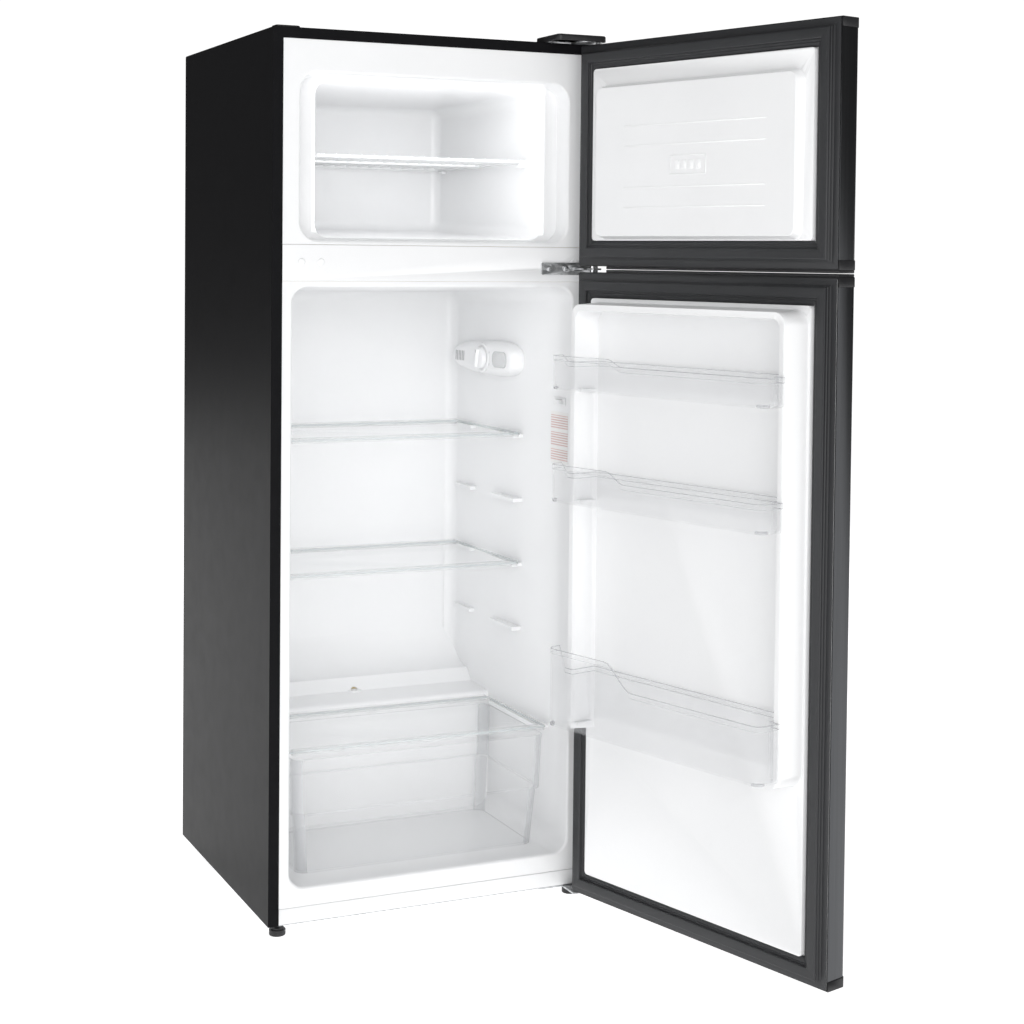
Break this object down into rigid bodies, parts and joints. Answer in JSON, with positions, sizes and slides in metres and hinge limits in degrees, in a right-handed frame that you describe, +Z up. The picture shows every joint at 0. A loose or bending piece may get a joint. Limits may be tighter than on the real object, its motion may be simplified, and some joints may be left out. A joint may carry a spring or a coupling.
{
  "type": "top freezer refrigerator",
  "caption": "Two-door refrigerator, freezer above and fresh food below, with right-hinged doors, glass shelves, wire freezer shelf, crisper drawer and door bins.",
  "frame": {"origin": "on the floor, at the middle of the cabinet's width, in the plane of the front flange that the door gaskets close on", "axes": "+X to the right as seen from the front, +Y to the back, +Z up"},
  "size_m": [0.6892, 1.0809, 1.423],
  "materials": {
    "black_steel": "semi-gloss black paint on steel",
    "rear_steel": "dark grey pre-painted steel",
    "zinc_steel": "zinc plated steel",
    "dark_stainless": "dark brushed stainless",
    "white_plastic": "glossy white polystyrene",
    "black_plastic": "satin black plastic",
    "gasket_rubber": "dark grey magnetic gasket",
    "clear_plastic": "clear polystyrene",
    "shelf_glass": "clear tempered glass",
    "foam": "polyurethane foam",
    "compressor_black": "black enamel",
    "mount_rubber": "black rubber",
    "copper": "copper",
    "tube_aluminium": "aluminium tube",
    "grey_plastic": "grey plastic",
    "sticker": "printed film",
    "white_wire": "white epoxy coated wire"
  },
  "bodies": {
    "cabinet": {"back_panel": "rear_steel", "base_plate": "zinc_steel", "bottom_hinge_bracket": "zinc_steel", "cabinet_foam": "foam", "cabinet_shell": "black_steel", "centre_rail": "white_plastic", "compressor": "compressor_black", "compressor_deck": "zinc_steel", "compressor_grommets": "mount_rubber", "condenser_coil": "tube_aluminium", "control_housing": "white_plastic", "cord_gland": "mount_rubber", "corner_plug_cap": "black_plastic", "drain_tube": "grey_plastic", "drip_pan": "black_plastic", "evaporator_coil": "tube_aluminium", "filter_drier": "copper", "freezer_liner": "white_plastic", "fridge_liner": "white_plastic", "hinge_screws": "zinc_steel", "info_label": "sticker", "lamp_bulb": "white_plastic", "lamp_lens": "clear_plastic", "lower_front_strip": "white_plastic", "mid_hinge_bracket": "zinc_steel", "rail_screw_caps": "white_plastic", "refrigerant_tubes": "copper", "relay_box": "black_plastic", "switch_frame": "white_plastic", "top_hinge_bracket": "zinc_steel", "top_hinge_cover": "black_plastic"},
    "freezer_door": {"freezer_door_skin": "dark_stainless", "freezer_door_top_cap": "black_plastic", "freezer_door_bottom_cap": "black_plastic", "freezer_door_gasket": "gasket_rubber", "freezer_door_foam": "foam", "freezer_door_liner": "white_plastic"},
    "fridge_door": {"fridge_door_skin": "dark_stainless", "fridge_door_top_cap": "black_plastic", "fridge_door_bottom_cap": "black_plastic", "fridge_door_gasket": "gasket_rubber", "fridge_door_foam": "foam", "fridge_door_liner": "white_plastic"},
    "top_bin": {"top_bin": "clear_plastic"},
    "middle_bin": {"middle_bin": "clear_plastic"},
    "bottle_bin": {"bottle_bin": "clear_plastic"},
    "front_foot_left": {"front_foot_left": "black_plastic"},
    "front_foot_right": {"front_foot_right": "black_plastic"},
    "rear_roller_left": {"rear_roller_left": "grey_plastic"},
    "rear_roller_right": {"rear_roller_right": "grey_plastic"},
    "thermostat_knob": {"thermostat_knob": "white_plastic"},
    "switch_plunger": {"switch_plunger": "white_plastic"},
    "freezer_wire_shelf": {"freezer_wire_shelf": "white_wire"},
    "upper_shelf": {"upper_shelf_glass": "shelf_glass", "upper_shelf_trims": "clear_plastic"},
    "lower_shelf": {"lower_shelf_glass": "shelf_glass", "lower_shelf_trims": "clear_plastic"},
    "crisper_cover": {"crisper_cover_glass": "shelf_glass", "crisper_cover_trims": "clear_plastic"},
    "crisper_drawer": {"crisper_drawer": "clear_plastic"}
  },
  "joints": [
    {"name": "freezer_door_hinge", "type": "hinge", "parent": "cabinet", "child": "freezer_door", "pos_m": [0.263, -0.038, 1.2], "axis": [0, 0, 1], "range_deg": [-105, 25]},
    {"name": "fridge_door_hinge", "type": "hinge", "parent": "cabinet", "child": "fridge_door", "pos_m": [0.263, -0.038, 0.5], "axis": [0, 0, 1], "range_deg": [-105, 25]},
    {"name": "top_bin_lift", "type": "slide", "parent": "fridge_door", "child": "top_bin", "axis": [0, 0, 1], "range_m": [0, 0.03]},
    {"name": "middle_bin_lift", "type": "slide", "parent": "fridge_door", "child": "middle_bin", "axis": [0, 0, 1], "range_m": [0, 0.03]},
    {"name": "bottle_bin_lift", "type": "slide", "parent": "fridge_door", "child": "bottle_bin", "axis": [0, 0, 1], "range_m": [0, 0.03]},
    {"name": "left_foot_screw", "type": "slide", "parent": "cabinet", "child": "front_foot_left", "axis": [0, 0, 1], "range_m": [-0.012, 0]},
    {"name": "right_foot_screw", "type": "slide", "parent": "cabinet", "child": "front_foot_right", "axis": [0, 0, 1], "range_m": [-0.012, 0]},
    {"name": "left_roller_spin", "type": "hinge", "parent": "cabinet", "child": "rear_roller_left", "pos_m": [-0.235, 0.484, 0.014], "axis": [1, 0, 0], "continuous": true},
    {"name": "right_roller_spin", "type": "hinge", "parent": "cabinet", "child": "rear_roller_right", "pos_m": [0.235, 0.484, 0.014], "axis": [1, 0, 0], "continuous": true},
    {"name": "thermostat_dial", "type": "hinge", "parent": "cabinet", "child": "thermostat_knob", "pos_m": [0.22958, 0.28901, 0.883], "axis": [-0.9992, -0.0396, 0], "range_deg": [-160, 110]},
    {"name": "light_switch", "type": "slide", "parent": "cabinet", "child": "switch_plunger", "axis": [0.9992, 0.0396, 0], "range_m": [0, 0.0035], "stiffness_N_per_m": 300, "springref_m": -0.001},
    {"name": "wire_shelf_slide", "type": "slide", "parent": "cabinet", "child": "freezer_wire_shelf", "axis": [0, -1, 0], "range_m": [0, 0.3]},
    {"name": "upper_shelf_slide", "type": "slide", "parent": "cabinet", "child": "upper_shelf", "axis": [0, -1, 0], "range_m": [0, 0.2]},
    {"name": "lower_shelf_slide", "type": "slide", "parent": "cabinet", "child": "lower_shelf", "axis": [0, -1, 0], "range_m": [0, 0.2]},
    {"name": "crisper_cover_slide", "type": "slide", "parent": "cabinet", "child": "crisper_cover", "axis": [0, -1, 0], "range_m": [0, 0.2]},
    {"name": "crisper_drawer_slide", "type": "slide", "parent": "cabinet", "child": "crisper_drawer", "axis": [0, -1, 0], "range_m": [0, 0.23]}
  ]
}
